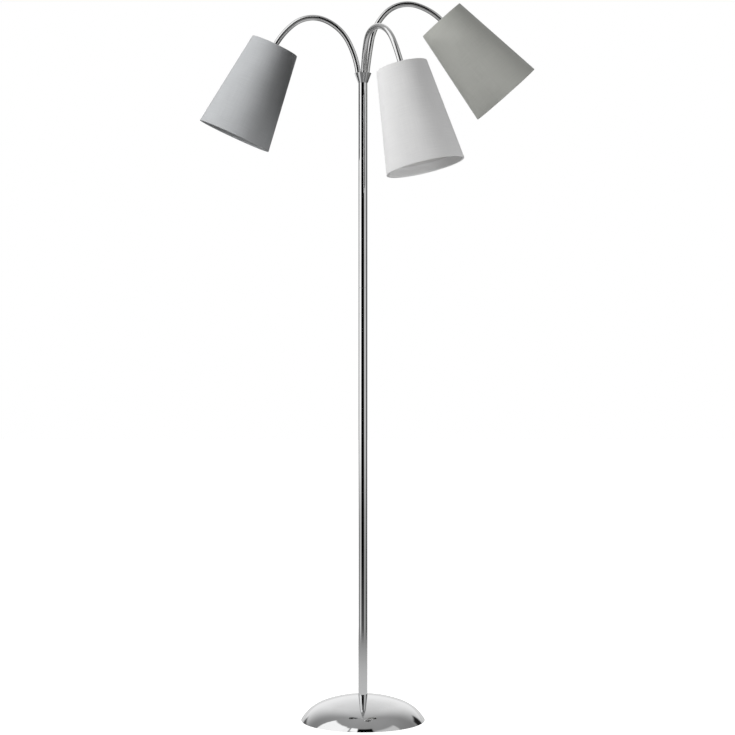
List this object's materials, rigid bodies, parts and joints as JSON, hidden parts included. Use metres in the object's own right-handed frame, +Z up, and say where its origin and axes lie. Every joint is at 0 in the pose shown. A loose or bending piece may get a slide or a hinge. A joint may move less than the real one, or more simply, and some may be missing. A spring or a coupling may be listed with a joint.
{
  "type": "tree floor lamp",
  "caption": "Floor lamp with a weighted dome base, a sectional pole and flexible goosenecks that carry cone shades over small globe bulbs.",
  "frame": {"origin": "centre of the base's underside, on the floor", "axes": "+Z up along the pole, +X to the lamp's right seen from the front, +Y to its back"},
  "size_m": [0.7034, 0.3885, 1.5039],
  "materials": {
    "chrome": "polished",
    "neck_chrome": "polished, finely ribbed",
    "felt_pad": "needled felt",
    "cast_iron": "as cast, painted",
    "black_rubber": "matt",
    "zinc_steel": "zinc plated",
    "holder_plastic": "moulded, satin",
    "brass": "drawn",
    "white_wire": "powder coated",
    "shade_lining": "translucent film",
    "left_fabric": "plain weave, cool grey",
    "middle_fabric": "plain weave, off-white",
    "right_fabric": "plain weave, warm grey",
    "cap_aluminium": "rolled",
    "bulb_glass": "frosted"
  },
  "bodies": {
    "root": {"base_dome": "chrome", "base_nut": "zinc_steel", "base_stud": "zinc_steel", "base_washer": "zinc_steel", "base_weight": "cast_iron", "cord_bush": "black_rubber", "foot_pad": "felt_pad", "hub_cup": "chrome", "hub_nipple": "zinc_steel", "hub_plate": "zinc_steel", "pole_bushes": "zinc_steel", "pole_studs": "zinc_steel", "pole_tube_lower": "chrome", "pole_tube_middle": "chrome", "pole_tube_upper": "chrome", "left_root_fitting": "chrome", "middle_root_fitting": "chrome", "right_root_fitting": "chrome"},
    "left_arm_1": {"left_neck_1": "neck_chrome"},
    "left_arm_2": {"left_neck_2": "neck_chrome"},
    "left_arm_3": {"left_neck_3": "neck_chrome"},
    "left_head": {"left_bulb_cap": "cap_aluminium", "left_bulb_glass": "bulb_glass", "left_lampholder": "holder_plastic", "left_neck_4": "neck_chrome", "left_shade_bottom_ring": "white_wire", "left_shade_fabric": "left_fabric", "left_shade_fitter": "white_wire", "left_shade_liner": "shade_lining", "left_shade_ring": "holder_plastic", "left_socket_contacts": "brass", "left_tip_fitting": "chrome"},
    "middle_arm_1": {"middle_neck_1": "neck_chrome"},
    "middle_arm_2": {"middle_neck_2": "neck_chrome"},
    "middle_arm_3": {"middle_neck_3": "neck_chrome"},
    "middle_head": {"middle_bulb_cap": "cap_aluminium", "middle_bulb_glass": "bulb_glass", "middle_lampholder": "holder_plastic", "middle_neck_4": "neck_chrome", "middle_shade_bottom_ring": "white_wire", "middle_shade_fabric": "middle_fabric", "middle_shade_fitter": "white_wire", "middle_shade_liner": "shade_lining", "middle_shade_ring": "holder_plastic", "middle_socket_contacts": "brass", "middle_tip_fitting": "chrome"},
    "right_arm_1": {"right_neck_1": "neck_chrome"},
    "right_arm_2": {"right_neck_2": "neck_chrome"},
    "right_arm_3": {"right_neck_3": "neck_chrome"},
    "right_head": {"right_bulb_cap": "cap_aluminium", "right_bulb_glass": "bulb_glass", "right_lampholder": "holder_plastic", "right_neck_4": "neck_chrome", "right_shade_bottom_ring": "white_wire", "right_shade_fabric": "right_fabric", "right_shade_fitter": "white_wire", "right_shade_liner": "shade_lining", "right_shade_ring": "holder_plastic", "right_socket_contacts": "brass", "right_tip_fitting": "chrome"}
  },
  "joints": [
    {"name": "left_swing", "type": "hinge", "parent": "root", "child": "left_arm_1", "pos_m": [-0.00946, 0.00344, 1.34859], "axis": [-0.1308, 0.0476, 0.9903], "range_deg": [-60, 45]},
    {"name": "left_lower_bend", "type": "hinge", "parent": "left_arm_1", "child": "left_arm_2", "pos_m": [-0.03034, 0.00642, 1.4153], "axis": [-0.1263, -0.9917, -0.0246], "range_deg": [-20, 10]},
    {"name": "left_crown_bend", "type": "hinge", "parent": "left_arm_2", "child": "left_arm_3", "pos_m": [-0.08057, 0.01165, 1.46217], "axis": [-0.1555, -0.9832, -0.0951], "range_deg": [-35, 10]},
    {"name": "left_tip_bend", "type": "hinge", "parent": "left_arm_3", "child": "left_head", "pos_m": [-0.14648, 0.02279, 1.4548], "axis": [-0.2822, -0.9555, 0.0862], "range_deg": [-35, 15]},
    {"name": "middle_swing", "type": "hinge", "parent": "root", "child": "middle_arm_1", "pos_m": [0.00175, -0.00992, 1.34859], "axis": [0.0242, -0.1371, 0.9903], "range_deg": [-45, 30]},
    {"name": "middle_lower_bend", "type": "hinge", "parent": "middle_arm_1", "child": "middle_arm_2", "pos_m": [0.00742, -0.04364, 1.40806], "axis": [0.8309, 0.4251, 0.3591], "range_deg": [-20, 5]},
    {"name": "middle_crown_bend", "type": "hinge", "parent": "middle_arm_2", "child": "middle_arm_3", "pos_m": [0.03083, -0.10494, 1.42645], "axis": [0.8688, 0.4888, 0.0783], "range_deg": [-35, 8]},
    {"name": "middle_tip_bend", "type": "hinge", "parent": "middle_arm_3", "child": "middle_head", "pos_m": [0.06109, -0.1527, 1.38892], "axis": [0.9398, 0.2749, 0.2031], "range_deg": [-35, 10]},
    {"name": "right_swing", "type": "hinge", "parent": "root", "child": "right_arm_1", "pos_m": [0.00771, 0.00647, 1.34859], "axis": [0.1066, 0.0895, 0.9903], "range_deg": [-40, 60]},
    {"name": "right_lower_bend", "type": "hinge", "parent": "right_arm_1", "child": "right_arm_2", "pos_m": [0.01731, 0.01307, 1.41791], "axis": [-0.1099, 0.9907, -0.0804], "range_deg": [-20, 15]},
    {"name": "right_crown_bend", "type": "hinge", "parent": "right_arm_2", "child": "right_arm_3", "pos_m": [0.04844, 0.02149, 1.47919], "axis": [0.0345, 0.9753, -0.2184], "range_deg": [-35, 15]},
    {"name": "right_tip_bend", "type": "hinge", "parent": "right_arm_3", "child": "right_head", "pos_m": [0.11312, 0.02267, 1.49468], "axis": [0.2036, 0.9328, 0.2975], "range_deg": [-35, 20]}
  ]
}
